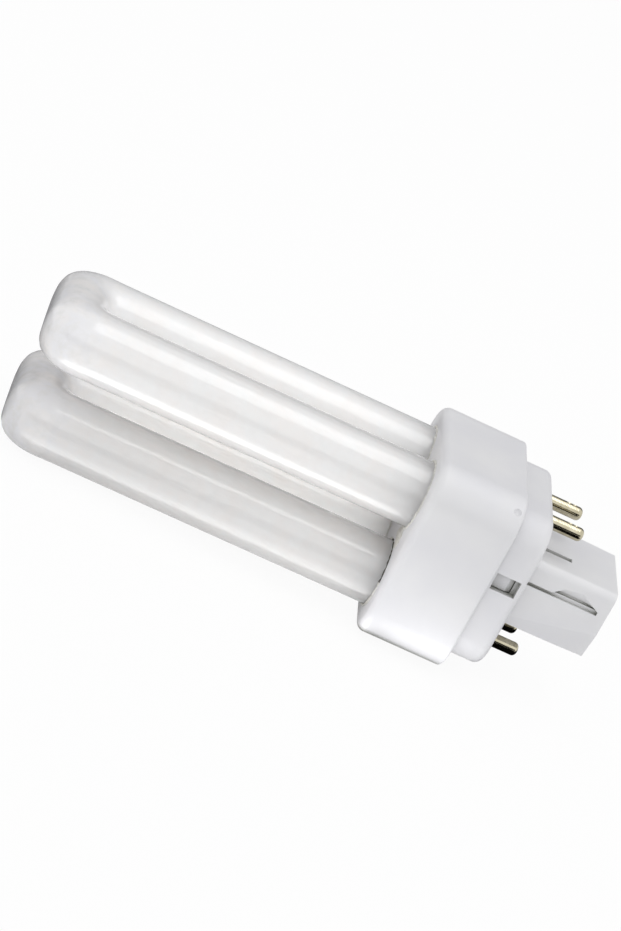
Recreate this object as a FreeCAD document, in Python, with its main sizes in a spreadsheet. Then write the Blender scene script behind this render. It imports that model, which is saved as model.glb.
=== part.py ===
import FreeCAD, Part
import Sketcher
import math
import os
import re

# A plug-in compact fluorescent lamp: two U-shaped tubes joined by a bridge into one sealed vessel,
# a square plastic collar that carries them, a plug cap with a central post, and four contact pins.
# The lamp axis is X, from the tube tips (negative) to the post (positive). Z is up, and the lamp
# lies on the flat under its collar. The origin is on the axis, in the cap face that the pins leave.

doc = FreeCAD.newDocument("Lamp")
sheet = doc.addObject("Spreadsheet::Sheet", "Sizes")
SIZES = [
    ("TubeDiameter", 12.0, "outside of each glass limb"),
    ("LimbGap", 2.7, "between the two limbs of one U"),
    ("RowGap", 4.2, "between the two U tubes"),
    ("VesselReach", 91.9, "cap face to the tips of the tubes"),
    ("BendDepth", 11.8, "tip to the end of the slot between two limbs"),
    ("ShoulderRadius", 7.0, "outer corner of the moulded bend, seen from above"),
    ("TipFullness", 0.74, "curve handles at the tip, as a share of its half width"),
    ("BendEntry", 4.0, "straight length that leads into the bend"),
    ("LimbRoot", 13.0, "cap face to the ends of the limbs, inside the collar"),
    ("RootNarrowing", 0.25, "limb ends, narrower than the limb all round"),
    ("RootLength", 5.5, "narrower end of each limb"),
    ("RootFlat", 1.25, "flat middle of each limb end, radius"),
    ("BridgeDiameter", 7.0, "cross tube that joins the two far limbs"),
    ("BridgeFromFace", 3.0, "collar face to the near side of the cross tube"),
    ("SealWide", 8.6, "pinch seal of the electrode limbs, across the two leads"),
    ("SealThick", 2.6, "pinch seal, through the flat"),
    ("SealLength", 4.0, "pinch seal beyond the limb end"),
    ("SealRounding", 0.8, "pinch seal edges"),
    ("TipOffDiameter", 3.0, "closed exhaust tube of the other limbs"),
    ("TipOffLength", 2.4, "closed exhaust tube beyond the limb end"),
    ("TubeToWall", 0.95, "upper and lower tubes to the collar's inner walls"),
    ("CollarCorner", 6.5, "collar corner radius"),
    ("CollarWall", 2.2, "collar wall"),
    ("CollarRim", 22.3, "cap face to the front face of the collar"),
    ("CollarStep", 6.35, "cap face to the back edge of the collar"),
    ("FaceWall", 2.0, "front wall of the collar, round the tubes"),
    ("TubeClearance", 0.15, "tube to its hole in the collar face, all round"),
    ("FaceRounding", 1.5, "rounding round the front face of the collar"),
    ("BackRounding", 0.5, "rounding round the back of the collar"),
    ("MarkRadius", 0.8, "round moulding mark on one corner of the collar"),
    ("MarkAway", 0.35, "centre of the mark above the surface"),
    ("MarkFromStep", 1.35, "back edge of the collar to the mark"),
    ("MarkTurn", 130.0, "direction of the mark from the corner's centre, degrees"),
    ("CementThick", 3.0, "cement bed behind the front wall of the collar"),
    ("CementClearance", 0.05, "cement to the tubes and the collar wall"),
    ("StopThick", 0.8, "stop ribs in the collar, off the wall"),
    ("StopWide", 2.0, "stop ribs, along the wall"),
    ("StopInset", 6.55, "middle of a stop rib to the next inner wall"),
    ("StopGap", 0.2, "cement bed to the stop ribs"),
    ("SkirtEntry", 3.7, "skirt of the cap inside the collar"),
    ("FitClearance", 0.15, "skirt to the collar wall, all round"),
    ("PlatformCorner", 5.8, "corner radius of the cap"),
    ("PlatformEdge", 1.4, "rounding round the cap face"),
    ("SkirtWall", 1.4, "side walls of the cap"),
    ("CapFloor", 1.8, "cap face wall"),
    ("PostWide", 18.1, "post, along Y"),
    ("PostHigh", 13.5, "post, along Z"),
    ("PostReach", 16.1, "cap face to the end of the post"),
    ("PostWall", 1.8, "post walls"),
    ("PostCorner", 1.4, "corner radius of the post"),
    ("BevelRoot", 1.7, "side bevel of the post at the cap face, up the side"),
    ("BevelRootDeep", 0.6, "side bevel at the cap face, under the post"),
    ("BevelEnd", 5.3, "side bevel at the end of the post, up the side"),
    ("BevelEndDeep", 1.6, "side bevel at the end of the post, under it"),
    ("CatchLine", 2.55, "height of the catch groove over the axis"),
    ("CatchStart", 0.8, "cap face to the start of the catch groove"),
    ("CatchEnd", 14.3, "cap face to the end of the catch groove"),
    ("CatchGroove", 0.65, "width of the catch groove"),
    ("CatchGrooveDeep", 0.7, "depth of the catch groove"),
    ("CatchFoot", 5.6, "cap face to the foot of the catch"),
    ("CatchTop", 7.4, "cap face to the low end of the catch top"),
    ("CatchRise", 1.55, "low end of the catch top above its groove"),
    ("CatchShelf", 3.2, "length of the catch top"),
    ("CatchClimb", 0.5, "rise of the catch top over that length"),
    ("CatchDeep", 1.2, "depth of the catch at its groove"),
    ("CatchLip", 0.25, "deepest part of the catch above its groove"),
    ("KeyStart", 1.7, "cap face to the keyway"),
    ("KeyLength", 5.7, "keyway length"),
    ("KeyWide", 1.3, "keyway width"),
    ("KeyDeep", 0.6, "keyway depth"),
    ("KeyAside", 2.9, "keyway off the middle of the post"),
    ("WindowLength", 4.5, "latch window, along the axis"),
    ("WindowWide", 3.2, "latch window, across"),
    ("WindowInset", 1.1, "cap face to the latch window"),
    ("WindowRise", 2.6, "middle of the latch window over the axis"),
    ("HookThick", 1.3, "latch tongue"),
    ("HookGap", 0.3, "latch tongue to the cap walls"),
    ("HookNose", 0.5, "latch nose, off the tongue"),
    ("HookSide", 0.15, "latch nose to the window, each side"),
    ("HookBack", 0.15, "latch to the edge of the window and to the cap face wall"),
    ("HookRamp", 0.9, "sloping end of the latch nose, along the axis"),
    ("HookRoot", 2.4, "root of the latch tongue, along the axis"),
    ("PinDiameter", 2.45, "contact pin"),
    ("PinShank", 2.6, "thicker part of the pin in the cap"),
    ("PinReach", 6.5, "contact pin beyond the cap face"),
    ("PinAcross", 8.4, "between the two pins of a pair, along Y"),
    ("PinInset", 2.6, "centre of a pin to the side of the cap"),
    ("PinTipRounding", 0.85, "rounding of the pin tip"),
    ("PinTail", 0.8, "pin behind its flange"),
    ("PinBore", 1.0, "bore of the pin, for its lead"),
    ("PinBoreReach", 0.4, "cap face to the end of the bore"),
    ("PinClearance", 0.05, "pin shank to its hole, all round"),
    ("FlangeDiameter", 3.6, "flange of the pin"),
    ("FlangeThick", 0.7, "flange of the pin"),
    ("FlangeClearance", 0.15, "flange to its seat, all round"),
    ("SeatFloor", 2.4, "cap face to the seat of the flange"),
    ("BossDiameter", 4.9, "boss behind each pin"),
    ("BossReach", 4.5, "cap face to the end of the boss"),
    ("DentRadius", 0.6, "round crimp dents near the pin tip"),
    ("DentDeep", 0.25, "depth of the crimp dents"),
    ("DentOuter", 1.8, "pin tip to the outer dent"),
    ("DentSpacing", 1.05, "between the two dents"),
    ("LeadDiameter", 0.6, "lead wire"),
    ("LeadSpread", 5.2, "between the two leads of a seal"),
    ("LeadStraight", 1.3, "straight ends of a lead"),
    ("LeadBend", 0.9, "bend radius of a lead"),
    ("LeadShort", 0.3, "end of the lead to the end of its bore"),
]
for row, (alias, size, meaning) in enumerate(SIZES, 1):
    sheet.set("A%d" % row, alias)
    sheet.set("B%d" % row, str(size))
    sheet.set("C%d" % row, meaning)
    sheet.setAlias("B%d" % row, alias)
doc.recompute()


# Sizes that follow from others: the room for the tubes sets the collar, and the collar sets the cap
FOLLOWING = {
    "LimbSpacing": "(TubeDiameter + LimbGap)",
    "RowSpacing": "(TubeDiameter + RowGap)",
    "RootRounding": "(TubeDiameter / 2 - RootNarrowing - RootFlat)",
    "CollarInside": "(2 * TubeDiameter + RowGap + 2 * TubeToWall)",
    "CollarWide": "(2 * TubeDiameter + RowGap + 2 * TubeToWall + 2 * CollarWall)",
    "StopSpread": "(2 * TubeDiameter + RowGap + 2 * TubeToWall - 2 * StopInset)",
    "CapWide": "(2 * TubeDiameter + RowGap + 2 * TubeToWall - 2 * FitClearance)",
    "PinApart": "(2 * TubeDiameter + RowGap + 2 * TubeToWall - 2 * FitClearance - 2 * PinInset)",
}


def named(formula):
    # each capitalised word of a formula is a size in the sheet, or follows from some
    for word, meaning in FOLLOWING.items():
        formula = re.sub(r"\b" + word + r"\b", meaning, formula)
    return re.sub(r"([A-Z]\w+)", r"Sizes.\1", formula)


def size(formula):
    return float(sheet.evalExpression(named(formula)))


# Sketches and features of a body

def origin_part(body, role):
    return next(item for item in body.Origin.OriginFeatures if item.Role == role)


def sketch_on(body, name, role, offset="0"):
    sketch = body.newObject("Sketcher::SketchObject", name)
    sketch.AttachmentSupport = (origin_part(body, role), "")
    sketch.MapMode = "FlatFace"
    sketch.setExpression("AttachmentOffset.Base.z", named(offset))
    return sketch


def bind(sketch, constraint, formula):
    # adds a sized constraint whose last value follows a formula
    index = sketch.addConstraint(Sketcher.Constraint(*constraint, size(formula)))
    sketch.setExpression("Constraints[%d]" % index, named(formula))


def rounded_rectangle(sketch, wide, high, corner):
    # centred on the sketch origin: four sides, then the four corner arcs
    w = size(wide) / 2
    h = size(high) / 2
    r = size(corner)
    ends = [(-w + r, -h, w - r, -h), (w, -h + r, w, h - r), (w - r, h, -w + r, h), (-w, h - r, -w, -h + r)]
    for x1, y1, x2, y2 in ends:
        sketch.addGeometry(Part.LineSegment(FreeCAD.Vector(x1, y1, 0), FreeCAD.Vector(x2, y2, 0)))
    centres = [(w - r, -h + r), (w - r, h - r), (-w + r, h - r), (-w + r, -h + r)]
    for quarter, (x, y) in enumerate(centres):
        circle = Part.Circle(FreeCAD.Vector(x, y, 0), FreeCAD.Vector(0, 0, 1), r)
        start = (quarter - 1) * math.pi / 2
        sketch.addGeometry(Part.ArcOfCircle(circle, start, start + math.pi / 2))
    for side in range(4):
        sketch.addConstraint(Sketcher.Constraint("Tangent", side, 2, 4 + side, 1))
        sketch.addConstraint(Sketcher.Constraint("Tangent", 4 + side, 2, (side + 1) % 4, 1))
    for side in (0, 2):
        sketch.addConstraint(Sketcher.Constraint("Horizontal", side))
        sketch.addConstraint(Sketcher.Constraint("Vertical", side + 1))
    for arc in (5, 6, 7):
        sketch.addConstraint(Sketcher.Constraint("Equal", 4, arc))
    sketch.addConstraint(Sketcher.Constraint("Symmetric", 5, 3, 7, 3, -1, 1))
    bind(sketch, ("DistanceX", 3, 1, 1, 1), wide)
    bind(sketch, ("DistanceY", 0, 1, 2, 1), high)
    bind(sketch, ("Radius", 4), corner)


def polygon(sketch, corners):
    # each corner is a pair of formulas, measured from the sketch origin
    first = sketch.GeometryCount
    points = [FreeCAD.Vector(size(x), size(y), 0) for x, y in corners]
    count = len(points)
    for n in range(count):
        sketch.addGeometry(Part.LineSegment(points[n], points[(n + 1) % count]))
    for n, (x, y) in enumerate(corners):
        sketch.addConstraint(Sketcher.Constraint("Coincident", first + n, 1, first + (n - 1) % count, 2))
        bind(sketch, ("DistanceX", -1, 1, first + n, 1), x)
        bind(sketch, ("DistanceY", -1, 1, first + n, 1), y)


def block(sketch, left, right, low, high):
    polygon(sketch, [(left, low), (right, low), (right, high), (left, high)])


def four_circles(sketch, diameter, across, apart):
    # one circle in each quarter, mirrored about both axes
    for x, y in ((1, 1), (-1, 1), (-1, -1), (1, -1)):
        centre = FreeCAD.Vector(x * size(across) / 2, y * size(apart) / 2, 0)
        sketch.addGeometry(Part.Circle(centre, FreeCAD.Vector(0, 0, 1), size(diameter) / 2))
    sketch.addConstraint(Sketcher.Constraint("Symmetric", 0, 3, 1, 3, -2))
    sketch.addConstraint(Sketcher.Constraint("Symmetric", 0, 3, 3, 3, -1))
    sketch.addConstraint(Sketcher.Constraint("Symmetric", 0, 3, 2, 3, -1, 1))
    for other in (1, 2, 3):
        sketch.addConstraint(Sketcher.Constraint("Equal", 0, other))
    bind(sketch, ("DistanceX", 1, 3, 0, 3), across)
    bind(sketch, ("DistanceY", 3, 3, 0, 3), apart)
    bind(sketch, ("Diameter", 0), diameter)


def feature(body, kind, name, sketch, length, forward=True):
    # a pad runs along the sketch normal and a pocket against it, unless forward is turned round
    item = body.newObject("PartDesign::" + kind, name)
    item.Profile = sketch
    item.setExpression("Length", named(length))
    item.Reversed = not forward
    doc.recompute()
    return item


def round_edges(body, name, radius, chosen):
    # rounds each edge of the body so far that passes the test
    base = body.Tip
    picked = ["Edge%d" % n for n, edge in enumerate(base.Shape.Edges, 1) if chosen(edge.BoundBox)]
    item = body.newObject("PartDesign::Fillet", name)
    item.Base = (base, picked)
    item.setExpression("Radius", named(radius))
    doc.recompute()
    return item


def cut_between(body, name, outlines):
    # takes away what lies between two outlines, with straight lines from one to the other
    cut = body.newObject("PartDesign::SubtractiveLoft", name)
    cut.Profile = outlines[0]
    cut.Sections = [outlines[1]]
    cut.Ruled = True
    doc.recompute()
    return cut


def half_turn(body, name, items):
    # the same features again on the far side, turned half round the lamp axis
    pattern = body.newObject("PartDesign::PolarPattern", name)
    pattern.Originals = items
    pattern.Axis = (origin_part(body, "X_Axis"), [""])
    pattern.Angle = 360
    pattern.Occurrences = 2
    body.Tip = pattern
    doc.recompute()
    return pattern


def across_plane(box, x):
    # true for an edge that lies flat in the plane at x
    near = 0.001
    return abs(box.XMin - x) < near and abs(box.XMax - x) < near


# The glass vessel: each U is one closed section that swings half round the end of the slot,
# from a full circle at the limbs to a squarer form at the tip, and then runs straight into the
# collar. Two of the limbs end in pinch seals for the leads, and two in closed exhaust tubes.

def bend_reach(turn):
    # from the end of the slot to the outline of the bend, which is a rectangle with round shoulders
    across = (size("LimbSpacing") + size("TubeDiameter")) / 2
    along = size("BendDepth")
    corner = size("ShoulderRadius")
    c = abs(math.cos(turn))
    s = math.sin(turn)
    if across * s <= (along - corner) * c:
        return across / c
    if along * c <= (across - corner) * s:
        return along / s
    middle = (across - corner) * c + (along - corner) * s
    off_square = (across - corner) ** 2 + (along - corner) ** 2 - middle ** 2
    return middle + math.sqrt(corner ** 2 - off_square)


# the handle length that makes a curve of four points a quarter circle
ROUND = 4 / 3 * (math.sqrt(2) - 1)


def bend_section(turn, back, height):
    # four quarter curves, from the outer side over the top to the inner side and round
    inner = (size("LimbSpacing") - size("TubeDiameter")) / 2
    outer = bend_reach(turn)
    middle = (outer + inner) / 2
    half = (outer - inner) / 2
    tube = size("TubeDiameter") / 2
    outward = FreeCAD.Vector(-math.sin(turn), math.cos(turn), 0) * half
    up = FreeCAD.Vector(0, 0, tube)
    centre = FreeCAD.Vector(size("BendDepth") - size("VesselReach") + back, 0, height)
    centre += outward * (middle / half)
    full = ROUND + (size("TipFullness") - ROUND) * math.sin(turn) ** 2
    quarters = [(outward, up, full), (up, -outward, ROUND), (-outward, -up, ROUND), (-up, outward, full)]
    edges = []
    for start, end, handle in quarters:
        curve = Part.BezierCurve()
        curve.setPoles([
            centre + start, centre + start + end * handle, centre + end + start * handle, centre + end])
        edges.append(curve.toShape())
    return Part.Wire(edges)


def u_tube(name, height):
    entry = size("BendEntry")
    steps = 9
    sections = [bend_section(0, entry, height)]
    sections += [bend_section(math.pi * n / steps, 0, height) for n in range(steps + 1)]
    sections += [bend_section(math.pi, entry, height)]
    bend = Part.makeLoft(sections, True, False)
    entry_x = size("BendDepth + BendEntry - VesselReach")
    ends = [face for face in bend.Faces if across_plane(face.BoundBox, entry_x)]
    run = size("VesselReach - BendDepth - BendEntry - LimbRoot - RootLength")
    limbs = [face.extrude(FreeCAD.Vector(run, 0, 0)) for face in ends]
    item = doc.addObject("Part::Feature", name)
    item.Shape = bend.fuse(limbs).removeSplitter()
    return item


def place(item, x, y, z, axis=(0, 0, 1), angle=0):
    item.Placement = FreeCAD.Placement(
        FreeCAD.Vector(0, 0, 0), FreeCAD.Rotation(FreeCAD.Vector(*axis), angle))
    item.setExpression("Placement.Base.x", named(x))
    item.setExpression("Placement.Base.y", named(y))
    item.setExpression("Placement.Base.z", named(z))


def limb_root(name, y, z):
    # the end of a limb, drawn in a little and closed to a dome
    stub = doc.addObject("Part::Cylinder", name + "_stub")
    stub.setExpression("Radius", named("TubeDiameter / 2 - RootNarrowing"))
    stub.setExpression("Height", named("RootLength + TubeDiameter / 2"))
    place(stub, "0 - LimbRoot - RootLength - TubeDiameter / 2", y, z, (0, 1, 0), 90)
    doc.recompute()
    end = -size("LimbRoot")
    rims = [n for n, edge in enumerate(stub.Shape.Edges, 1) if across_plane(edge.BoundBox, end)]
    dome = doc.addObject("Part::Fillet", name)
    dome.Base = stub
    dome.Edges = [(n, size("RootRounding"), size("RootRounding")) for n in rims]
    return dome


def pinch_seal(name, z):
    # a flat block pressed from the limb end, with its flat across the two leads
    flat = doc.addObject("Part::Box", name + "_block")
    flat.setExpression("Length", named("SealLength + RootRounding"))
    flat.setExpression("Width", named("SealWide"))
    flat.setExpression("Height", named("SealThick"))
    place(flat, "0 - LimbRoot - RootRounding", "0 - LimbSpacing / 2 - SealWide / 2", z + " - SealThick / 2")
    rounded = doc.addObject("Part::Fillet", name)
    rounded.Base = flat
    rounded.Edges = [(edge, size("SealRounding"), size("SealRounding")) for edge in range(1, 13)]
    return rounded


def tip_off(name, z):
    # the exhaust tube, closed to a round end
    stem = doc.addObject("Part::Cylinder", name + "_stem")
    stem.setExpression("Radius", named("TipOffDiameter / 2"))
    stem.setExpression("Height", named("TipOffLength + RootRounding - TipOffDiameter / 2"))
    place(stem, "0 - LimbRoot - RootRounding", "LimbSpacing / 2", z, (0, 1, 0), 90)
    drop = doc.addObject("Part::Sphere", name + "_drop")
    drop.setExpression("Radius", named("TipOffDiameter / 2"))
    place(drop, "TipOffLength - LimbRoot - TipOffDiameter / 2", "LimbSpacing / 2", z)
    return [stem, drop]


def glass_vessel():
    bridge = doc.addObject("Part::Cylinder", "bridge")
    bridge.setExpression("Radius", named("BridgeDiameter / 2"))
    bridge.setExpression("Height", named("RowSpacing"))
    along = "0 - CollarRim - BridgeFromFace - BridgeDiameter / 2"
    place(bridge, along, "LimbSpacing / 2", "0 - RowSpacing / 2")
    vessel = doc.addObject("Part::MultiFuse", "glass_vessel")
    pieces = [bridge]
    for name, side in (("upper", 1), ("lower", -1)):
        pieces.append(u_tube(name + "_u", side * size("RowSpacing / 2")))
        height = "%d * RowSpacing / 2" % side
        pieces.append(limb_root(name + "_far_root", "LimbSpacing / 2", height))
        pieces.append(limb_root(name + "_near_root", "0 - LimbSpacing / 2", height))
        pieces.append(pinch_seal(name + "_seal", height))
        pieces += tip_off(name + "_tip_off", height)
    vessel.Shapes = pieces
    vessel.Refine = True
    return vessel


# The collar: a square moulding with a flat front that has a hole for each tube, ribs that stop
# the cap's skirt, and a latch tongue on each side.

def collar_shell():
    body = doc.addObject("PartDesign::Body", "collar_shell")
    outline = sketch_on(body, "collar_outline", "YZ_Plane", "0 - CollarRim")
    rounded_rectangle(outline, "CollarWide", "CollarWide", "CollarCorner")
    feature(body, "Pad", "collar_block", outline, "CollarRim - CollarStep")
    for radius, x in (("FaceRounding", "0 - CollarRim"), ("BackRounding", "0 - CollarStep")):
        end = size(x)
        round_edges(body, radius, radius, lambda box: across_plane(box, end))
    hollow = sketch_on(body, "hollow_outline", "YZ_Plane", "0 - CollarStep")
    rounded_rectangle(hollow, "CollarInside", "CollarInside", "CollarCorner - CollarWall")
    feature(body, "Pocket", "hollow", hollow, "CollarRim - FaceWall - CollarStep")
    holes = sketch_on(body, "tube_holes", "YZ_Plane", "0 - CollarStep")
    four_circles(holes, "TubeDiameter + 2 * TubeClearance", "LimbSpacing", "RowSpacing")
    feature(body, "Pocket", "tube_openings", holes, "CollarRim")
    stop_ribs(body)
    latch_tongues(body)
    moulding_mark(body)
    return body


def stop_ribs(body):
    # two ribs on each inner wall, rooted in the wall, which the end of the skirt meets
    front = "StopGap + CementThick + FaceWall - CollarRim"
    rows = sketch_on(body, "stop_rows", "YZ_Plane", front)
    wall = "CollarInside / 2"
    for side in (-1, 1):
        for end in (-1, 1):
            near = "%d * (%s - StopThick)" % (side, wall)
            far = "%d * (%s + CollarWall / 2)" % (side, wall)
            low = "%d * StopSpread / 2 - StopWide / 2" % end
            high = "%d * StopSpread / 2 + StopWide / 2" % end
            block(rows, near, far, low, high)
            block(rows, low, high, near, far)
    length = "0 - CollarStep - SkirtEntry - (" + front + ")"
    feature(body, "Pad", "stop_ribs", rows, length)


def latch_tongues(body):
    # from the collar wall, in behind the skirt, to a nose that fills the window
    low = "WindowRise - WindowWide / 2 + HookSide"
    profile = sketch_on(body, "latch_profile", "XY_Plane", low)
    wall = "0 - (CollarInside / 2 + CollarWall / 2)"
    skirt_inside = "CapWide / 2 - SkirtWall"
    face = "0 - (" + skirt_inside + " - HookGap)"
    back = "0 - (" + skirt_inside + " - HookGap - HookThick)"
    nose = "0 - (" + skirt_inside + " - HookGap + HookNose)"
    root_end = "0 - CollarStep - SkirtEntry - HookGap"
    catch = "0 - WindowInset - WindowLength + HookBack"
    tip = "0 - CapFloor - HookBack"
    polygon(profile, [
        (root_end + " - HookRoot", wall), (root_end + " - HookRoot", back), (tip, back),
        (tip, face), (tip + " - HookRamp", nose), (catch, nose), (catch, face), (root_end, face),
        (root_end, wall)])
    tongue = feature(body, "Pad", "latch_tongue", profile, "WindowWide - 2 * HookSide")
    half_turn(body, "latch_tongues", [tongue])


def moulding_mark(body):
    mark = body.newObject("PartDesign::SubtractiveSphere", "moulding_mark")
    mark.setExpression("Radius", named("MarkRadius"))
    mark.AttachmentSupport = (origin_part(body, "YZ_Plane"), "")
    mark.MapMode = "FlatFace"
    corner = "(CollarWide / 2 - CollarCorner)"
    away = "(CollarCorner + MarkAway)"
    across = named("0 - " + corner + " + " + away) + " * cos(Sizes.MarkTurn)"
    upward = named(corner + " + " + away) + " * sin(Sizes.MarkTurn)"
    mark.setExpression("AttachmentOffset.Base.x", across)
    mark.setExpression("AttachmentOffset.Base.y", upward)
    mark.setExpression("AttachmentOffset.Base.z", named("0 - CollarStep - MarkFromStep"))
    body.Tip = mark
    doc.recompute()


# The plug cap: skirt and face in one with the hollow post, bosses that hold the pins, two latch
# windows, and on the post a catch, a keyway and a bevel, each again half a turn round the axis.

def base_cap():
    body = doc.addObject("PartDesign::Body", "base_cap")
    wide = "CapWide"
    outline = sketch_on(body, "cap_outline", "YZ_Plane", "0 - CollarStep - SkirtEntry")
    rounded_rectangle(outline, wide, wide, "PlatformCorner")
    feature(body, "Pad", "cap_block", outline, "CollarStep + SkirtEntry")
    round_edges(body, "cap_edge", "PlatformEdge", lambda box: across_plane(box, 0))
    inside = sketch_on(body, "cap_inside", "YZ_Plane", "0 - CapFloor")
    hollow = wide + " - 2 * SkirtWall"
    rounded_rectangle(inside, hollow, hollow, "PlatformCorner - SkirtWall")
    feature(body, "Pocket", "cap_hollow", inside, "CollarStep + SkirtEntry")
    post = sketch_on(body, "post_outline", "YZ_Plane", "0 - CapFloor")
    rounded_rectangle(post, "PostWide", "PostHigh", "PostCorner")
    feature(body, "Pad", "post", post, "CapFloor + PostReach")
    bosses = sketch_on(body, "boss_circles", "YZ_Plane", "0 - BossReach")
    four_circles(bosses, "BossDiameter", "PinAcross", "PinApart")
    feature(body, "Pad", "bosses", bosses, "BossReach - CapFloor / 2")
    core = sketch_on(body, "post_core", "YZ_Plane", "PostReach - PostWall")
    rounded_rectangle(core, "PostWide - 2 * PostWall", "PostHigh - 2 * PostWall", "PostCorner")
    feature(body, "Pocket", "post_hollow", core, "CapFloor + PostReach")
    seats = sketch_on(body, "flange_seats", "YZ_Plane", "0 - SeatFloor")
    four_circles(seats, "FlangeDiameter + 2 * FlangeClearance", "PinAcross", "PinApart")
    feature(body, "Pocket", "seats", seats, "BossReach")
    holes = sketch_on(body, "pin_holes", "YZ_Plane", "0")
    four_circles(holes, "PinShank + 2 * PinClearance", "PinAcross", "PinApart")
    feature(body, "Pocket", "pin_openings", holes, "BossReach")
    cuts = [latch_window(body), catch(body), catch_groove(body), keyway(body), post_bevel(body)]
    half_turn(body, "far_side", cuts)
    return body


def latch_window(body):
    opening = sketch_on(body, "window_outline", "XZ_Plane", "CapWide / 2")
    low = "WindowRise - WindowWide / 2"
    high = "WindowRise + WindowWide / 2"
    block(opening, "0 - WindowInset - WindowLength", "0 - WindowInset", low, high)
    return feature(body, "Pocket", "latch_window", opening, "SkirtWall + FitClearance")


def catch(body):
    # a short slope on the cap side, a shelf that climbs a little, and a long ramp down to the
    # groove; the face falls away inward from the shelf, so it is deepest along the groove
    shelf_end = "CatchTop + CatchShelf"
    deepest = "CatchLine + CatchLip"
    ends = []
    for name, offset, low_top, high_top in (
            ("outer", "PostWide / 2", "CatchLine + CatchRise", "CatchLine + CatchRise + CatchClimb"),
            ("inner", "PostWide / 2 - CatchDeep", deepest, deepest)):
        outline = sketch_on(body, "catch_" + name, "XZ_Plane", offset)
        foot = ("CatchFoot", "CatchLine")
        end = ("CatchEnd", "CatchLine")
        polygon(outline, [foot, end, (shelf_end, high_top), ("CatchTop", low_top)])
        ends.append(outline)
    return cut_between(body, "catch", ends)


def catch_groove(body):
    outline = sketch_on(body, "groove_outline", "XZ_Plane", "PostWide / 2")
    block(outline, "CatchStart", "CatchEnd", "CatchLine - CatchGroove", "CatchLine")
    return feature(body, "Pocket", "catch_groove", outline, "CatchGrooveDeep")


def keyway(body):
    outline = sketch_on(body, "keyway_outline", "XY_Plane", "PostHigh / 2")
    left = "0 - KeyAside - KeyWide / 2"
    right = "0 - KeyAside + KeyWide / 2"
    block(outline, "KeyStart", "KeyStart + KeyLength", left, right)
    return feature(body, "Pocket", "keyway", outline, "KeyDeep")


def post_bevel(body):
    # a long three-cornered cut along the lower near edge of the post, which grows toward its end
    ends = []
    for name, offset, rise, deep in (
            ("root", "0", "BevelRoot", "BevelRootDeep"), ("end", "PostReach", "BevelEnd", "BevelEndDeep")):
        outline = sketch_on(body, "bevel_" + name, "YZ_Plane", offset)
        side = "0 - PostWide / 2"
        under = "0 - PostHigh / 2"
        polygon(outline, [(side, under), (side + " + " + deep, under), (side, under + " + " + rise)])
        ends.append(outline)
    return cut_between(body, "post_bevel", ends)


# The contact pins: turned brass with a flange behind the cap face, a shank in its wall that ends
# flush with it, a round nose, and two dents that crimp the lead.

def contact_pin(number, y, z, flip):
    body = doc.addObject("PartDesign::Body", "contact_pin_%d" % number)
    profile = sketch_on(body, "pin_profile", "XY_Plane")
    tail = "0 - SeatFloor - FlangeThick - PinTail"
    seat = "0 - SeatFloor"
    behind = "0 - SeatFloor - FlangeThick"
    pin = "PinDiameter / 2"
    shank = "PinShank / 2"
    flange = "FlangeDiameter / 2"
    polygon(profile, [
        (tail, "PinBore / 2"), ("PinBoreReach", "PinBore / 2"), ("PinBoreReach", "0"), ("PinReach", "0"),
        ("PinReach", pin), ("0", pin), ("0", shank), (seat, shank), (seat, flange), (behind, flange),
        (behind, shank), (tail, shank)])
    turned = body.newObject("PartDesign::Revolution", "pin_turning")
    turned.Profile = profile
    turned.ReferenceAxis = (profile, ["H_Axis"])
    turned.Angle = 360
    doc.recompute()
    tip = size("PinReach")
    round_edges(body, "pin_nose", "PinTipRounding", lambda box: across_plane(box, tip))
    for name, back in (("outer", "DentOuter"), ("inner", "DentOuter + DentSpacing")):
        dent = body.newObject("PartDesign::SubtractiveSphere", "dent_" + name)
        dent.AttachmentSupport = (origin_part(body, "XY_Plane"), "")
        dent.MapMode = "FlatFace"
        dent.setExpression("Radius", named("DentRadius"))
        dent.setExpression("AttachmentOffset.Base.x", named("PinReach - (" + back + ")"))
        dent.setExpression("AttachmentOffset.Base.z", named("PinDiameter / 2 + DentRadius - DentDeep"))
        doc.recompute()
    place(body, "0", y, z, (1, 0, 0), flip)
    return body


# The lead wires: from each seal, out along the axis, aslant, and into the bore of a pin.

def bent_path(points, radius):
    # straight runs joined by tangent arcs
    edges = []
    start = points[0]
    for before, corner, after in zip(points, points[1:], points[2:]):
        inward = (before - corner).normalize()
        onward = (after - corner).normalize()
        half = inward.getAngle(onward) / 2
        leg = radius / math.tan(half)
        middle = (inward + onward).normalize()
        centre = corner + middle * (radius / math.sin(half))
        edges.append(Part.makeLine(start, corner + inward * leg))
        arc = Part.Arc(corner + inward * leg, centre - middle * radius, corner + onward * leg)
        edges.append(arc.toShape())
        start = corner + onward * leg
    edges.append(Part.makeLine(start, points[-1]))
    return Part.Wire(edges)


def lead_wire(number, pin_side, row):
    start = FreeCAD.Vector(
        size("SealLength - LimbRoot"),
        size("0 - LimbSpacing / 2 + %d * LeadSpread / 2" % pin_side),
        size("%d * RowSpacing / 2" % row))
    end = FreeCAD.Vector(
        size("PinBoreReach - LeadShort"),
        size("%d * PinAcross / 2" % pin_side),
        size("%d * PinApart / 2" % row))
    straight = FreeCAD.Vector(size("LeadStraight"), 0, 0)
    pin_mouth = FreeCAD.Vector(
        size("0 - SeatFloor - FlangeThick - PinTail - LeadStraight"), end.y, end.z)
    path = bent_path([start, start + straight, pin_mouth, end], size("LeadBend"))
    circle = Part.makeCircle(size("LeadDiameter / 2"), start, FreeCAD.Vector(1, 0, 0))
    item = doc.addObject("Part::Feature", "lead_wire_%d" % number)
    item.Shape = path.makePipeShell([Part.Wire(circle)], True, False)
    return item


# The cement: a bed behind the front wall of the collar, round all four limbs.

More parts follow.
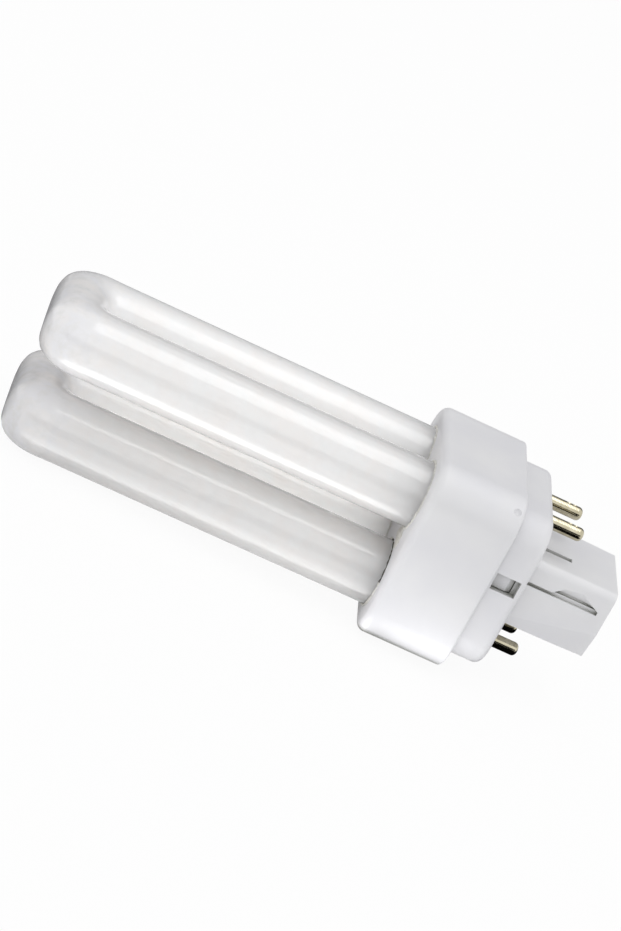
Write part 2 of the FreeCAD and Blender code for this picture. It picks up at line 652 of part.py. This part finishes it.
def tube_cement():
    body = doc.addObject("PartDesign::Body", "tube_cement")
    front = "FaceWall - CollarRim"
    wide = "CollarInside - 2 * CementClearance"
    outline = sketch_on(body, "bed_outline", "YZ_Plane", front)
    rounded_rectangle(outline, wide, wide, "CollarCorner - CollarWall")
    feature(body, "Pad", "bed", outline, "CementThick")
    holes = sketch_on(body, "limb_holes", "YZ_Plane", front)
    four_circles(holes, "TubeDiameter + 2 * CementClearance", "LimbSpacing", "RowSpacing")
    feature(body, "Pocket", "limb_openings", holes, "CementThick", False)
    return body


parts = [glass_vessel(), collar_shell(), base_cap(), tube_cement()]
for number, (side, row) in enumerate(((-1, 1), (1, 1), (1, -1), (-1, -1)), 1):
    across = "%d * PinAcross / 2" % side
    apart = "%d * PinApart / 2" % row
    parts.append(contact_pin(number, across, apart, 0 if row > 0 else 180))
    parts.append(lead_wire(number, side, row))
doc.recompute()

for item in doc.Objects:
    if "Invalid" in item.State or "Error" in item.State:
        raise RuntimeError("failed: " + item.Label)
os.makedirs("parts", exist_ok=True)
for item in parts:
    shape = item.Shape
    if shape.isNull() or not shape.isValid() or len(shape.Solids) != 1:
        raise RuntimeError("not one valid solid: " + item.Label)
    shape.exportStep("parts/" + item.Label + ".step")
    print(item.Label, round(shape.Volume, 2))
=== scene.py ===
import math

import bpy
from mathutils import Matrix, Vector, noise


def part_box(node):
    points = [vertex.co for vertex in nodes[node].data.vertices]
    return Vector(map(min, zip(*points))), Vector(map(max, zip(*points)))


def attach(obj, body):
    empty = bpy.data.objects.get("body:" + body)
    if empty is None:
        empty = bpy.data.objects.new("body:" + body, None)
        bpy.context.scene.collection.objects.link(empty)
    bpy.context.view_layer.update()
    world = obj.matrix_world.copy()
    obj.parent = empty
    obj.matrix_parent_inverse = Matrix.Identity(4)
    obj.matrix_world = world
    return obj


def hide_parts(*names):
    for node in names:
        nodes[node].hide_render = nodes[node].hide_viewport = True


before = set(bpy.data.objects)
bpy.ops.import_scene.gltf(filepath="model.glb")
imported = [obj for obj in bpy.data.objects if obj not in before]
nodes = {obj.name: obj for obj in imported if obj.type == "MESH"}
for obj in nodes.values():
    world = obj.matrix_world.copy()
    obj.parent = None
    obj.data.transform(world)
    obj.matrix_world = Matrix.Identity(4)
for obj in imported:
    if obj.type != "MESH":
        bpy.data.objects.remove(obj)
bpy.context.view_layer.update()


# Glass tubes: one sealed vessel of 12 mm soda-lime tube, bent hot in moulds to two U shapes with
# square shoulders, joined by a short blown bridge and coated white with phosphor inside.

MM = 0.001
NEAR = 0.01 * MM
TUBE = 12.0 * MM
LIMB_SPACING = 14.7 * MM
ROW_SPACING = 16.2 * MM
BEND_DEPTH = 11.8 * MM
SHOULDER = 7.0 * MM
TIP_FULLNESS = 0.8
RINGS = 22
SIDES = 72
BEND_STEPS = 36
DOME_STEP = 0.6 * MM
DOME_SHARES = (0.97, 0.88, 0.7, 0.4)
BRIDGE = 7.0 * MM
BRIDGE_X = -28.8 * MM
BRIDGE_LENGTH = ROW_SPACING - 6.0 * MM
BRIDGE_SIDES = 48
FLARE = 0.45
FLARE_FROM = 1.4 * MM
FLARE_LENGTH = 3.8 * MM
FLARE_RING = 0.9 * MM
FLARE_RINGS = 4

vessel_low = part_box("glass_vessel")[0]
tip_x = vessel_low.x
root_x = -13.0 * MM
pivot_x = tip_x + BEND_DEPTH


def select_only(piece):
    # in object mode, with nothing else selected
    if bpy.context.object and bpy.context.object.mode != "OBJECT":
        bpy.ops.object.mode_set(mode="OBJECT")
    bpy.ops.object.select_all(action="DESELECT")
    piece.select_set(True)
    bpy.context.view_layer.objects.active = piece


def place_in_mesh(piece):
    # the piece's place goes into its mesh, and its object to the origin
    select_only(piece)
    bpy.ops.object.transform_apply(location=True, rotation=True, scale=True)


def apply_modifiers(piece):
    # all of them, in their order
    select_only(piece)
    for modifier in list(piece.modifiers):
        bpy.ops.object.modifier_apply(modifier=modifier.name)


def join_into(piece, others):
    # the others become part of the piece's mesh
    select_only(piece)
    for other in others:
        other.select_set(True)
    bpy.ops.object.join()


def shoulder_reach(turn):
    # from the middle of the bend to its outline, a rectangle with round shoulders
    side = (LIMB_SPACING + TUBE) / 2
    across = abs(math.cos(turn))
    ahead = math.sin(turn)
    if side * ahead <= (BEND_DEPTH - SHOULDER) * across:
        return side / across
    if BEND_DEPTH * across <= (side - SHOULDER) * ahead:
        return BEND_DEPTH / ahead
    middle = (side - SHOULDER) * across + (BEND_DEPTH - SHOULDER) * ahead
    off_square = (side - SHOULDER) ** 2 + (BEND_DEPTH - SHOULDER) ** 2 - middle ** 2
    return middle + math.sqrt(SHOULDER ** 2 - off_square)


def press_bend(mesh, row_z):
    # moves the round bend's points out to the moulded outline, fuller towards the tip
    slot = (LIMB_SPACING - TUBE) / 2
    for point in mesh.vertices:
        if point.co.x > pivot_x - NEAR:
            continue
        off = Vector((pivot_x - point.co.x, point.co.y))
        turn = math.atan2(off.x, off.y)
        out = (off.length - LIMB_SPACING / 2) / (TUBE / 2)
        up = (point.co.z - row_z) / (TUBE / 2)
        power = 2 / (2 + TIP_FULLNESS * math.sin(turn) ** 2) if out > 0 else 1
        reach = shoulder_reach(turn)
        out = math.copysign(min(abs(out), 1) ** power, out)
        up = math.copysign(min(abs(up), 1) ** power, up)
        along = (reach + slot) / 2 + (reach - slot) / 2 * out
        point.co = (pivot_x - along * math.sin(turn), along * math.cos(turn), row_z + up * TUBE / 2)


def u_tube(name, row_z):
    # a ring drawn out along the far limb, spun round the bend and drawn back along the near limb
    bpy.ops.object.select_all(action="DESELECT")
    bpy.ops.mesh.primitive_circle_add(
        vertices=SIDES, radius=TUBE / 2,
        location=(root_x, LIMB_SPACING / 2, row_z), rotation=(0, math.pi / 2, 0))
    tube = bpy.context.object
    tube.name = name
    place_in_mesh(tube)
    bpy.ops.object.mode_set(mode="EDIT")
    bpy.ops.mesh.select_all(action="SELECT")
    stretch = (pivot_x - root_x) / RINGS
    for _ in range(RINGS):
        bpy.ops.mesh.extrude_region_move(TRANSFORM_OT_translate={"value": (stretch, 0, 0)})
    bpy.ops.mesh.spin(steps=BEND_STEPS, angle=-math.pi, center=(pivot_x, 0, row_z), axis=(0, 0, 1))
    for _ in range(RINGS):
        bpy.ops.mesh.extrude_region_move(TRANSFORM_OT_translate={"value": (-stretch, 0, 0)})
    bpy.ops.mesh.select_all(action="SELECT")
    bpy.ops.mesh.remove_doubles(threshold=NEAR)
    bpy.ops.object.mode_set(mode="OBJECT")
    press_bend(tube.data, row_z)
    dome_roots(tube)
    return tube


def dome_roots(tube):
    # closes both open ends inside the collar with a few shrinking rings
    bpy.ops.object.mode_set(mode="EDIT")
    for side in (-1, 1):
        bpy.ops.mesh.select_all(action="DESELECT")
        bpy.ops.object.mode_set(mode="OBJECT")
        for point in tube.data.vertices:
            point.select = abs(point.co.x - root_x) < NEAR and point.co.y * side > 0
        for edge in tube.data.edges:
            a, b = edge.vertices
            edge.select = tube.data.vertices[a].select and tube.data.vertices[b].select
        bpy.ops.object.mode_set(mode="EDIT")
        last = 1.0
        for share in DOME_SHARES:
            bpy.ops.mesh.extrude_region_move(TRANSFORM_OT_translate={"value": (DOME_STEP, 0, 0)})
            bpy.ops.transform.resize(value=(share / last,) * 3)
            last = share
        bpy.ops.mesh.edge_face_add()
    bpy.ops.mesh.select_all(action="SELECT")
    bpy.ops.mesh.normals_make_consistent(inside=False)
    bpy.ops.object.mode_set(mode="OBJECT")


def bridge_tube():
    # the short cross tube between the far limbs, flared where it was blown into them
    limb_y = LIMB_SPACING / 2
    bpy.ops.object.select_all(action="DESELECT")
    bpy.ops.mesh.primitive_cylinder_add(
        vertices=BRIDGE_SIDES, radius=BRIDGE / 2, depth=BRIDGE_LENGTH, location=(BRIDGE_X, limb_y, 0),
        end_fill_type="NGON")
    bridge = bpy.context.object
    bridge.name = "bridge_tube"
    place_in_mesh(bridge)
    bpy.ops.object.mode_set(mode="EDIT")
    bpy.ops.mesh.select_all(action="SELECT")
    for step in range(-FLARE_RINGS, FLARE_RINGS + 1):
        bpy.ops.mesh.bisect(plane_co=(0, 0, step * FLARE_RING), plane_no=(0, 0, 1))
        bpy.ops.mesh.select_all(action="SELECT")
    bpy.ops.object.mode_set(mode="OBJECT")
    for point in bridge.data.vertices:
        rise = max(0, abs(point.co.z) - FLARE_FROM) / FLARE_LENGTH
        flare = 1 + FLARE * rise ** 2
        point.co.x = BRIDGE_X + (point.co.x - BRIDGE_X) * flare
        point.co.y = limb_y + (point.co.y - limb_y) * flare
    return bridge


glass = u_tube("glass_tubes", ROW_SPACING / 2)
join_into(glass, [u_tube("lower_u", -ROW_SPACING / 2)])
bridge = bridge_tube()
blown = glass.modifiers.new("blown_join", "BOOLEAN")
blown.operation = "UNION"
blown.object = bridge
apply_modifiers(glass)
bpy.data.objects.remove(bridge)
bpy.ops.object.shade_smooth()
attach(glass, "root")
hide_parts("glass_vessel")


def linear(hex_colour):
    # an sRGB hex colour as linear light, with full alpha
    parts = [int(hex_colour[n:n + 2], 16) / 255 for n in (1, 3, 5)]
    return [p / 12.92 if p <= 0.04045 else ((p + 0.055) / 1.055) ** 2.4 for p in parts] + [1.0]


def new_material(name):
    # an empty node tree to build a finish in
    material = bpy.data.materials.new(name)
    material.use_nodes = True
    material.node_tree.nodes.clear()
    return material


def node(tree, kind, settings=None, links=None):
    # one node with its settings; links name an input and the output that feeds it
    item = tree.nodes.new("ShaderNode" + kind)
    for key, value in (settings or {}).items():
        if isinstance(key, int) or key in item.inputs.keys():
            item.inputs[key].default_value = value
        else:
            setattr(item, key, value)
    for key, source in (links or {}).items():
        tree.links.new(source, item.inputs[key])
    return item


def coated_glass():
    # soda-lime glass, drawn and then coated white inside with a washed-in powder: the powder gives an
    # even soft white that thins to a cool mottled grey at the tips, the glass sharp reflections that
    # waver along faint draw lines. The powder is drawn coarser than it is, so that it shows.
    cloud_size = 7 * MM
    powder_size = 2.4 * MM
    draw_line_width = 1.6 * MM
    ragged_by = 7 * MM
    material = new_material("soda_lime_glass_over_phosphor")
    tree = material.node_tree
    place = node(tree, "TexCoord").outputs["Object"]
    axis = node(tree, "SeparateXYZ", links={"Vector": place}).outputs["X"]
    cloud = node(tree, "TexNoise", {"Scale": 1 / cloud_size, "Detail": 4.0}, {"Vector": place})
    wander = node(tree, "Math", {"operation": "MULTIPLY_ADD", 1: 2 * ragged_by, 2: -ragged_by},
                  {0: cloud.outputs["Fac"]})
    from_tip = node(tree, "Math", {"operation": "SUBTRACT", 1: tip_x}, {0: axis})
    ragged = node(tree, "Math", {"operation": "ADD"}, {0: from_tip.outputs[0], 1: wander.outputs[0]})
    thick = node(tree, "MapRange", {"From Min": 2 * MM, "From Max": 16 * MM}, {"Value": ragged.outputs[0]})
    coat = node(tree, "Mix", {"data_type": "RGBA", 6: linear("#EBEBF1"), 7: linear("#F4F4F2")},
                {0: thick.outputs["Result"]})
    smears = node(tree, "MapRange", {"From Min": 0.4, "From Max": 0.65}, {"Value": cloud.outputs["Fac"]})
    warm = node(tree, "Mix", {"data_type": "RGBA", 7: linear("#F6EFEA")},
                {0: smears.outputs["Result"], 6: coat.outputs[2]})
    powder = node(tree, "TexNoise", {"Scale": 1 / powder_size, "Detail": 3.0}, {"Vector": place})
    thin = node(tree, "MapRange",
                {"From Min": 2 * MM, "From Max": 12 * MM, "To Min": 1.0, "To Max": 0.12},
                {"Value": from_tip.outputs[0]})
    spots = node(tree, "MapRange", {"From Min": 0.45, "From Max": 0.75}, {"Value": powder.outputs["Fac"]})
    bare = node(tree, "Math", {"operation": "MULTIPLY"},
                {0: spots.outputs["Result"], 1: thin.outputs["Result"]})
    colour = node(tree, "Mix", {"data_type": "RGBA", 7: linear("#D9D8D5")},
                  {0: bare.outputs[0], 6: warm.outputs[2]})
    drawn = node(tree, "Mapping", {"Scale": (0.02, 1.0, 1.0)}, {"Vector": place})
    lines = node(tree, "TexNoise", {"Scale": 1 / draw_line_width, "Detail": 2.0},
                 {"Vector": drawn.outputs["Vector"]})
    waves = node(tree, "Bump", {"Strength": 0.35, "Distance": 0.05 * MM}, {"Height": lines.outputs["Fac"]})
    shader = node(tree, "BsdfPrincipled", {
        "Roughness": 0.35, "IOR": 1.5, "Specular IOR Level": 0.5,
        "Coat Weight": 1.0, "Coat Roughness": 0.12, "Coat IOR": 1.52,
        "Subsurface Weight": 1.0, "Subsurface Radius": (40 * MM, 40 * MM, 40 * MM), "Subsurface Scale": 1.0,
    }, {"Base Color": colour.outputs[2], "Coat Normal": waves.outputs["Normal"]})
    node(tree, "OutputMaterial", links={"Surface": shader.outputs["BSDF"]})
    return material


glass.data.materials.clear()
glass.data.materials.append(coated_glass())


# Tube cement: a white setting cement poured behind the collar floor. A ragged bead of it shows
# where each limb passes through its hole.

FACE_X = -22.3 * MM
BEAD_BEYOND = 0.2 * MM
BEAD_THICK = 0.24 * MM
BEAD_EVEN = 0.85
BEAD_UNEVEN = 0.9
BEAD_CRUMBLED = 0.2
BEAD_SEGMENTS = 200
BEAD_SIDES = 10
CRACK_BEYOND = 0.14 * MM
CRACK_THICK = 0.2 * MM
LUMP = 0.9 * MM
SMEAR_THICK = 0.22 * MM
SMEAR_RAGGED = 0.5
SMEAR_RAGGED_OFTEN = 2.2
SMEAR_LUMPY = 0.6
SMEAR_LUMPY_OFTEN = 5


def cement_bead(name, y, z, beyond, thick, start, stretch):
    # a thin uneven ring round a limb on the collar face, over one stretch of its turn, and next to
    # nothing over the rest, where the cement has crumbled away
    radius = TUBE / 2 + beyond
    bpy.ops.object.select_all(action="DESELECT")
    bpy.ops.mesh.primitive_torus_add(
        location=(FACE_X, y, z), rotation=(0, math.pi / 2, 0),
        major_segments=BEAD_SEGMENTS, minor_segments=BEAD_SIDES, major_radius=radius, minor_radius=thick)
    bead = bpy.context.object
    bead.name = name
    place_in_mesh(bead)
    for point in bead.data.vertices:
        off = Vector((point.co.y - y, point.co.z - z))
        turn = math.degrees(math.atan2(-off.x, off.y))
        lumps = noise.noise(Vector((thick, point.co.y, point.co.z)) / LUMP)
        swell = BEAD_EVEN + BEAD_UNEVEN * lumps if (turn - start) % 360 < stretch else BEAD_CRUMBLED
        ring = off.normalized() * radius
        outward = ring + (off - ring) * swell
        point.co = (FACE_X + (point.co.x - FACE_X) * swell, y + outward.x, z + outward.y)
    bpy.ops.object.shade_smooth()
    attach(bead, "root")
    return bead


def cement_smear(name, y, z, wide, high):
    # a flat lumpy dab that was wiped over the collar face
    bpy.ops.object.select_all(action="DESELECT")
    bpy.ops.mesh.primitive_ico_sphere_add(subdivisions=5, radius=1, location=(0, 0, 0))
    smear = bpy.context.object
    smear.name = name
    for point in smear.data.vertices:
        ragged = 1 + SMEAR_RAGGED * noise.noise(Vector((0, point.co.y, point.co.z)) * SMEAR_RAGGED_OFTEN)
        lumps = 1 + SMEAR_LUMPY * noise.noise(Vector((1, point.co.y, point.co.z)) * SMEAR_LUMPY_OFTEN)
        point.co = (FACE_X + point.co.x * SMEAR_THICK * lumps, y + point.co.y * wide * ragged,
                    z + point.co.z * high * ragged)
    bpy.ops.object.shade_smooth()
    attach(smear, "root")
    return smear


def setting_cement(name, low, high):
    # mineral setting cement, poured and left to harden: gritty and matt, with small pores, both drawn
    # coarser than they are, so that they show
    grit_size = 0.5 * MM
    material = new_material(name)
    tree = material.node_tree
    place = node(tree, "TexCoord").outputs["Object"]
    grit = node(tree, "TexNoise", {"Scale": 1 / grit_size, "Detail": 5.0}, {"Vector": place})
    pores = node(tree, "MapRange", {"From Min": 0.3, "From Max": 0.7}, {"Value": grit.outputs["Fac"]})
    colour = node(tree, "Mix", {"data_type": "RGBA", 6: linear(low), 7: linear(high)},
                  {0: pores.outputs["Result"]})
    bump = node(tree, "Bump", {"Strength": 0.6, "Distance": 0.2 * MM}, {"Height": grit.outputs["Fac"]})
    shader = node(tree, "BsdfPrincipled", {"Roughness": 0.85, "IOR": 1.5},
                  {"Base Color": colour.outputs[2], "Normal": bump.outputs["Normal"]})
    node(tree, "OutputMaterial", links={"Surface": shader.outputs["BSDF"]})
    return material


limb_y = LIMB_SPACING / 2
limb_z = ROW_SPACING / 2
# each bead's limb, and where round it the cement starts and how far it goes, in degrees
beads = (
    ("cement_bead_upper_far", limb_y, limb_z, 0, 360),
    ("cement_bead_upper_near", -limb_y, limb_z, 0, 360),
    ("cement_bead_lower_far", limb_y, -limb_z, 0, 360),
    ("cement_bead_lower_near", -limb_y, -limb_z, 80, 260),
)
fresh_cement = [
    cement_bead(name, y, z, BEAD_BEYOND, BEAD_THICK, start, stretch) for name, y, z, start, stretch in beads]
smear = cement_smear("cement_smear", y=-8.6 * MM, z=0.1 * MM, wide=2.6 * MM, high=1.7 * MM)
fresh_cement += [smear, nodes["tube_cement"]]
# painted shade: a dark ring round the lower near limb stands in for the shadow in the gap between the limb
# and its hole
crack_shade = cement_bead("crack_shadow_ring", -limb_y, -limb_z, CRACK_BEYOND, CRACK_THICK, start=-20, stretch=105)
# the ring's dark cement colours paint that shadow
for pieces, cement in (
        (fresh_cement, setting_cement("white_setting_cement", "#CFCDC6", "#E9E8E3")),
        ([crack_shade], setting_cement("painted_crack_shade", "#2E2C29", "#6B6760"))):
    for piece in pieces:
        piece.data.materials.clear()
        piece.data.materials.append(cement)


# Collar and cap: two mouldings of white glass-filled polyester that snap together, satin from a
# fine-grained mould, and a little cool in colour.

def white_polyester():
    # glass-filled polyester, moulded in a finely sparked mould: a very fine grain, drawn coarser than it
    # is so that it shows, with faint flow clouds, slightly translucent, and painted shade that greys its
    # recesses
    cloud_size = 14 * MM
    grain_size = 0.35 * MM
    painted_shade_reach = 4 * MM
    material = new_material("moulded_white_polyester")
    tree = material.node_tree
    place = node(tree, "TexCoord").outputs["Object"]
    flow = node(tree, "TexNoise", {"Scale": 1 / cloud_size, "Detail": 3.0}, {"Vector": place})
    clouds = node(tree, "MapRange", {"From Min": 0.35, "From Max": 0.65}, {"Value": flow.outputs["Fac"]})
    fresh = node(tree, "Mix", {"data_type": "RGBA", 6: linear("#E5E5E8"), 7: linear("#EBEBEC")},
                 {0: clouds.outputs["Result"]})
    # painted shade: ambient occlusion darkens the colour to grey in recesses, grooves and creases
    hollow = node(tree, "AmbientOcclusion", {"samples": 8, "Distance": painted_shade_reach})
    unshaded_share = node(tree, "MapRange", {"From Min": 0.3, "From Max": 0.62}, {"Value": hollow.outputs["AO"]})
    colour = node(tree, "Mix", {"data_type": "RGBA", 6: linear("#A3A49E")},
                  {0: unshaded_share.outputs["Result"], 7: fresh.outputs[2]})
    grain = node(tree, "TexNoise", {"Scale": 1 / grain_size, "Detail": 3.0}, {"Vector": place})
    bump = node(tree, "Bump", {"Strength": 0.12, "Distance": 0.05 * MM}, {"Height": grain.outputs["Fac"]})
    shader = node(tree, "BsdfPrincipled", {
        "Roughness": 0.4, "IOR": 1.54, "Subsurface Weight": 0.15,
        "Subsurface Radius": (1.5 * MM, 1.5 * MM, 1.5 * MM), "Subsurface Scale": 1.0,
    }, {"Base Color": colour.outputs[2], "Normal": bump.outputs["Normal"]})
    node(tree, "OutputMaterial", links={"Surface": shader.outputs["BSDF"]})
    return material


polyester = white_polyester()
for name in ("collar_shell", "base_cap"):
    nodes[name].data.materials.clear()
    nodes[name].data.materials.append(polyester)


# Contact pins and lead wires: four pins turned from bright brass rod and held in the cap's bosses,
# each bored for a nickel-plated wire from a tube end and dented near its tip.

def turned_brass():
    # brass turned on a lathe: fine turning lines round the pin, drawn coarser than they are so that they
    # show, and a faint tarnish. A wave texture of scale 1 has a line every pi / 10.
    line_spacing = 0.28274 * MM
    tarnish_size = 1.5 * MM
    material = new_material("turned_brass")
    tree = material.node_tree
    place = node(tree, "TexCoord").outputs["Object"]
    lines = node(tree, "TexWave", {"Scale": math.pi / 10 / line_spacing, "Distortion": 1.5, "Detail": 2.0},
                 {"Vector": place})
    tarnish = node(tree, "TexNoise", {"Scale": 1 / tarnish_size, "Detail": 3.0}, {"Vector": place})
    spots = node(tree, "MapRange", {"From Min": 0.3, "From Max": 0.7}, {"Value": tarnish.outputs["Fac"]})
    colour = node(tree, "Mix", {"data_type": "RGBA", 6: linear("#ADA58B"), 7: linear("#D2CBB4")},
                  {0: spots.outputs["Result"]})
    bump = node(tree, "Bump", {"Strength": 0.1, "Distance": 0.02 * MM}, {"Height": lines.outputs["Fac"]})
    shader = node(tree, "BsdfPrincipled", {"Metallic": 1.0, "Roughness": 0.14},
                  {"Base Color": colour.outputs[2], "Normal": bump.outputs["Normal"]})
    node(tree, "OutputMaterial", links={"Surface": shader.outputs["BSDF"]})
    return material


def nickel_wire():
    # wire drawn through a die and plated: a dull grey skin with soft blotches
    blotch_size = 0.6 * MM
    material = new_material("nickel_plated_wire")
    tree = material.node_tree
    place = node(tree, "TexCoord").outputs["Object"]
    skin = node(tree, "TexNoise", {"Scale": 1 / blotch_size, "Detail": 3.0}, {"Vector": place})
    dull = node(tree, "MapRange", {"From Min": 0.3, "From Max": 0.7}, {"Value": skin.outputs["Fac"]})
    colour = node(tree, "Mix", {"data_type": "RGBA", 6: linear("#8F8B84"), 7: linear("#B4B0A8")},
                  {0: dull.outputs["Result"]})
    shader = node(tree, "BsdfPrincipled", {"Metallic": 1.0, "Roughness": 0.35},
                  {"Base Color": colour.outputs[2]})
    node(tree, "OutputMaterial", links={"Surface": shader.outputs["BSDF"]})
    return material


brass = turned_brass()
wire = nickel_wire()
for number in range(1, 5):
    for name, metal in (("contact_pin_", brass), ("lead_wire_", wire)):
        piece = nodes[name + str(number)]
        piece.data.materials.clear()
        piece.data.materials.append(metal)


# Stage: a white paper table that the collar's edge and the tube tips rest on, in a white room. It
# leans a little, because the bulb lies level and its collar is deeper than its tubes.

TABLE = 1.2
TABLE_SEEN = 0.94
TABLE_MIRRORED = 0.5
ROOM = 0.76
TIP_TOUCH = 4.0 * MM
COLLAR_TOUCH_X = -22.0 * MM
rest_front = Vector((tip_x + TIP_TOUCH, 0, vessel_low.z))
rest_back = Vector((COLLAR_TOUCH_X, 0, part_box("collar_shell")[0].z))
lean = math.atan2(rest_front.z - rest_back.z, rest_back.x - rest_front.x)

bpy.ops.object.select_all(action="DESELECT")
bpy.ops.mesh.primitive_plane_add(size=TABLE, location=rest_back, rotation=(0, lean, 0))
floor = bpy.context.object
floor.name = "table"
place_in_mesh(floor)


def white_table():
    # matt white paper, rolled smooth: near white to the camera, through glass and in reflections, so
    # that it meets the room without a line, and with a soft shadow
    material = new_material("white_paper")
    tree = material.node_tree
    paper = node(tree, "BsdfDiffuse", {"Color": linear("#F4F4F4")})
    glow = node(tree, "Emission", {"Color": (1, 1, 1, 1), "Strength": 1.0})
    path = node(tree, "LightPath")
    seen = node(tree, "Math", {"operation": "MAXIMUM"},
                {0: path.outputs["Is Camera Ray"], 1: path.outputs["Is Transmission Ray"]})
    mirrored = node(tree, "Math", {"operation": "MULTIPLY", 1: TABLE_MIRRORED},
                    {0: path.outputs["Is Glossy Ray"]})
    share = node(tree, "Math", {"operation": "MULTIPLY_ADD", 1: TABLE_SEEN},
                 {0: seen.outputs[0], 2: mirrored.outputs[0]})
    mix = node(tree, "MixShader", links={0: share.outputs[0], 1: paper.outputs[0], 2: glow.outputs[0]})
    node(tree, "OutputMaterial", links={"Surface": mix.outputs[0]})
    return material


floor.data.materials.append(white_table())

# the room lights the bulb evenly, and is pure white to the camera, through glass and in reflections
world = bpy.data.worlds.new("studio")
bpy.context.scene.world = world
world.use_nodes = True
tree = world.node_tree
tree.nodes.clear()
path = node(tree, "LightPath")
seen = node(tree, "Math", {"operation": "MAXIMUM"},
            {0: path.outputs["Is Camera Ray"], 1: path.outputs["Is Transmission Ray"]})
bright = node(tree, "Math", {"operation": "MAXIMUM"},
              {0: seen.outputs[0], 1: path.outputs["Is Glossy Ray"]})
room = node(tree, "Background", {"Color": linear("#F9F9FA"), "Strength": ROOM})
white = node(tree, "Background", {"Color": (1, 1, 1, 1), "Strength": 1.0})
mix = node(tree, "MixShader", links={0: bright.outputs[0], 1: room.outputs[0], 2: white.outputs[0]})
node(tree, "OutputWorld", links={"Surface": mix.outputs[0]})


# Lamps and cards: a softbox overhead, a large one in front, and low strips on the table that draw
# bright lines on the tubes and light the far ones from behind. The cards are grey and black flags,
# out of sight, that the glass and the brass reflect.

def facing(position, target):
    # the place of a flat thing at one point that faces another, with its width along X
    back = (Vector(position) - Vector(target)).normalized()
    across = Vector((1, 0, 0))
    across = (across - back * across.dot(back)).normalized()
    return Matrix.Translation(position) @ Matrix((across, back.cross(across), back)).transposed().to_4x4()


def softbox(name, position, target, width, depth, power):
    # a rectangular area light that faces a point and isn't seen itself
    data = bpy.data.lights.new(name, "AREA")
    data.shape = "RECTANGLE"
    data.size = width
    data.size_y = depth
    data.energy = power
    lamp = bpy.data.objects.new(name, data)
    bpy.context.scene.collection.objects.link(lamp)
    lamp.visible_camera = False
    lamp.matrix_world = facing(position, target)
    return lamp


def dark_card(name, position, target, width, depth, shade):
    # a matt grey card beside the bulb, out of the picture, that its glass and metal reflect
    bpy.ops.object.select_all(action="DESELECT")
    bpy.ops.mesh.primitive_plane_add(size=1)
    card = bpy.context.object
    card.name = name
    card.matrix_world = facing(position, target) @ Matrix.Diagonal((width, depth, 1, 1))
    place_in_mesh(card)
    card.visible_camera = False
    card.visible_shadow = False
    card.visible_diffuse = False
    paint = new_material(name + "_paint")
    coat = node(paint.node_tree, "BsdfDiffuse", {"Color": linear(shade)})
    node(paint.node_tree, "OutputMaterial", links={"Surface": coat.outputs[0]})
    card.data.materials.append(paint)


def on_table(x, y, lift):
    # a place just over the leaning table top, and a point square above it
    z = rest_back.z + (rest_back.x - x) * math.tan(lean) + lift
    return (x, y, z), (x + math.sin(lean), y, z + math.cos(lean))


bulb = (-0.04, 0, 0)
softbox("overhead", (0.03, -0.04, 0.5), bulb, width=0.17, depth=0.36, power=0.43)
softbox("front_fill", (0.0, -0.56, 0.28), bulb, width=1.2, depth=0.8, power=0.4)
tube_strip = softbox(
    "tube_strip", *on_table(-57 * MM, -21 * MM, 0.4 * MM), width=72 * MM, depth=12 * MM, power=0.0034)
tube_strip.data.spread = math.radians(120)
back_strip = softbox(
    "back_strip", *on_table(-52 * MM, 20 * MM, 0.6 * MM), width=72 * MM, depth=26 * MM, power=0.011)
back_strip.visible_glossy = False
softbox("collar_strip", *on_table(-9 * MM, -25 * MM, 0.8 * MM), width=20 * MM, depth=12 * MM, power=0.0012)
dark_card("back_card", (-0.04, 0.4, 0.16), bulb, width=0.9, depth=0.5, shade="#8E8E90")
dark_card("front_card", (-0.03, -0.3, 0.045), (-0.03, 0, 0.045), width=0.8, depth=0.125, shade="#3A3A3C")
dark_card("pin_card", *on_table(0.03, -0.1425, 1.5 * MM), width=0.062, depth=0.315, shade="#101010")
dark_card("table_card", *on_table(-0.11, 0.158, 0.05 * MM), width=0.28, depth=0.28, shade="#6E6E70")
dark_card("tip_card", *on_table(-0.164, 0.0075, 0.05 * MM), width=0.172, depth=0.021, shade="#838385")


# Camera: in front of the bulb and above it, and rolled, so that the tubes rise to the left. Its
# place, lens and shift were fitted to the photograph.

AZIMUTH = math.radians(-8.38)
ELEVATION = math.radians(23.06)
ROLL = math.radians(27.80)
DISTANCE = 0.5478
AIM_X = -40.43 * MM
LENS = 123.59
SENSOR = 36.0
SHIFT = (0.0060, 0.0068)
back = Vector((
    math.sin(AZIMUTH) * math.cos(ELEVATION),
    -math.cos(AZIMUTH) * math.cos(ELEVATION),
    math.sin(ELEVATION)))
level = Vector((0, 0, 1)).cross(back).normalized()
upright = back.cross(level)
right = math.cos(ROLL) * level + math.sin(ROLL) * upright
up = back.cross(right)
view = bpy.data.cameras.new("camera")
view.sensor_width = SENSOR
view.lens = LENS
view.shift_x, view.shift_y = SHIFT
camera = bpy.data.objects.new("camera", view)
bpy.context.scene.collection.objects.link(camera)
stand = Matrix((right, up, back)).transposed().to_4x4()
stand.translation = Vector((AIM_X, 0, 0)) + back * DISTANCE
camera.matrix_world = stand
bpy.context.scene.camera = camera
bpy.context.scene.view_settings.view_transform = "Standard"
